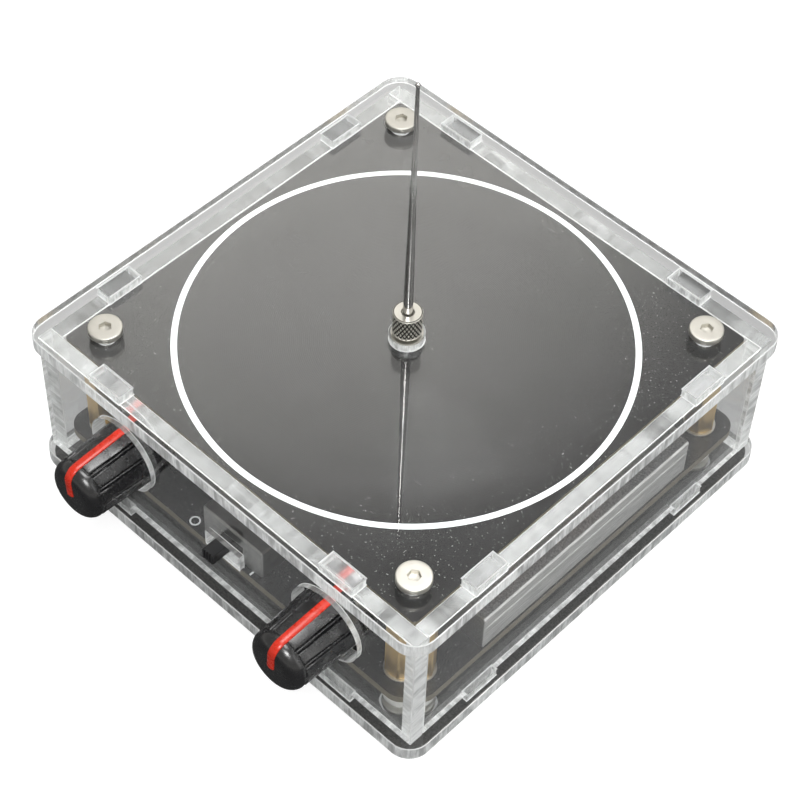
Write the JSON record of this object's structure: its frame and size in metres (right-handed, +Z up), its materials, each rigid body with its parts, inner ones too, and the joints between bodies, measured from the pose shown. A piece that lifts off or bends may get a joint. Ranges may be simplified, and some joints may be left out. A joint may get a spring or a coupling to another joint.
{
  "type": "desktop resonant transformer",
  "caption": "Clear-cased desktop resonant transformer: flat spiral coil board, discharge needle, knobs, slide switch, power and audio sockets.",
  "frame": {"origin": "middle of the underside of the base pad, on the surface it stands on", "axes": "+Z up along the needle; -Y towards the front wall with the knobs and the switch; +X towards the heat sink"},
  "size_m": [0.092, 0.1021, 0.0918],
  "materials": {
    "clear_acrylic": "clear sheet, polished faces, frosted laser-cut edges",
    "foam_pad": "matt black",
    "nickel": "bright nickel plate",
    "brass": "plain drawn brass",
    "nylon": "translucent white",
    "board_black": "glossy black solder mask on glass-fibre board",
    "white_print": "white screen print",
    "masked_copper": "copper winding under black solder mask",
    "bare_copper": "bare copper",
    "knob_black": "soft matt black with satin facets",
    "pointer_red": "satin red",
    "bright_steel": "bright steel",
    "needle_steel": "polished steel wire",
    "black_plastic": "matt moulded black",
    "aluminium": "extruded, brushed along its length",
    "grey_pad": "matt grey silicone",
    "tin": "tinned",
    "can_black": "shrink sleeve with a plain silver top",
    "film_red": "dipped epoxy",
    "ferrite": "painted ring",
    "enamel_wire": "enamelled copper wire",
    "board_green": "glossy solder mask",
    "ceramic": "ceramic chip parts",
    "lamp": "water-clear lens"
  },
  "bodies": {
    "case": {"audio_jack": "black_plastic", "audio_module": "board_green", "back_wall": "clear_acrylic", "base_pad": "foam_pad", "bottom_plate": "clear_acrylic", "bottom_screws": "nickel", "brass_standoffs": "brass", "chip_parts": "ceramic", "chip_pins": "tin", "chips": "black_plastic", "choke_core": "ferrite", "choke_winding": "enamel_wire", "clamp_screw": "nickel", "clamp_strap": "bright_steel", "coil_board": "board_black", "crystal": "bright_steel", "driver_board": "board_black", "electrolytic_capacitors": "can_black", "film_capacitor": "film_red", "foot_washers": "nickel", "front_wall": "clear_acrylic", "heat_sink": "aluminium", "indicator_lamps": "lamp", "left_wall": "clear_acrylic", "link_pins": "brass", "link_strip": "black_plastic", "module_shield": "tin", "needle_post": "nickel", "nylon_spacers": "nylon", "pot_body_left": "black_plastic", "pot_body_right": "black_plastic", "pot_bracket_left": "bright_steel", "pot_bracket_right": "bright_steel", "power_jack": "black_plastic", "power_jack_pin": "bright_steel", "primary_loop": "bare_copper", "right_wall": "clear_acrylic", "ring_print": "white_print", "soldered_leads": "tin", "spiral_winding": "masked_copper", "switch_base": "black_plastic", "switch_shell": "bright_steel", "thermal_pads": "grey_pad", "top_plate": "clear_acrylic", "top_screws": "nickel", "transistor_packages": "black_plastic", "transistor_tabs": "tin"},
    "left_knob": {"knob_left": "knob_black", "pointer_left": "pointer_red", "pot_shaft_left": "bright_steel"},
    "right_knob": {"knob_right": "knob_black", "pointer_right": "pointer_red", "pot_shaft_right": "bright_steel"},
    "lever": {"switch_lever": "black_plastic"},
    "rod": {"needle": "needle_steel"},
    "nut": {"thumb_nut": "nickel"}
  },
  "joints": [
    {"name": "left_knob_turn", "type": "hinge", "parent": "case", "child": "left_knob", "pos_m": [-0.0241, -0.047, 0.0186], "axis": [0, -1, 0], "range_deg": [-154, 146]},
    {"name": "right_knob_turn", "type": "hinge", "parent": "case", "child": "right_knob", "pos_m": [0.0241, -0.047, 0.0186], "axis": [0, -1, 0], "range_deg": [-146.5, 153.5]},
    {"name": "switch_slide", "type": "slide", "parent": "case", "child": "lever", "axis": [1, 0, 0], "range_m": [0, 0.002]},
    {"name": "needle_lift", "type": "slide", "parent": "case", "child": "rod", "axis": [0, 0, 1], "range_m": [0, 0.0015]},
    {"name": "nut_turn", "type": "hinge", "parent": "rod", "child": "nut", "pos_m": [0, 0, 0.0375], "axis": [0, 0, 1], "range_deg": [0, 1080]}
  ],
  "couplings": [
    {"joint": "nut_turn", "follows": "needle_lift", "rad_per_m": 12566}
  ]
}
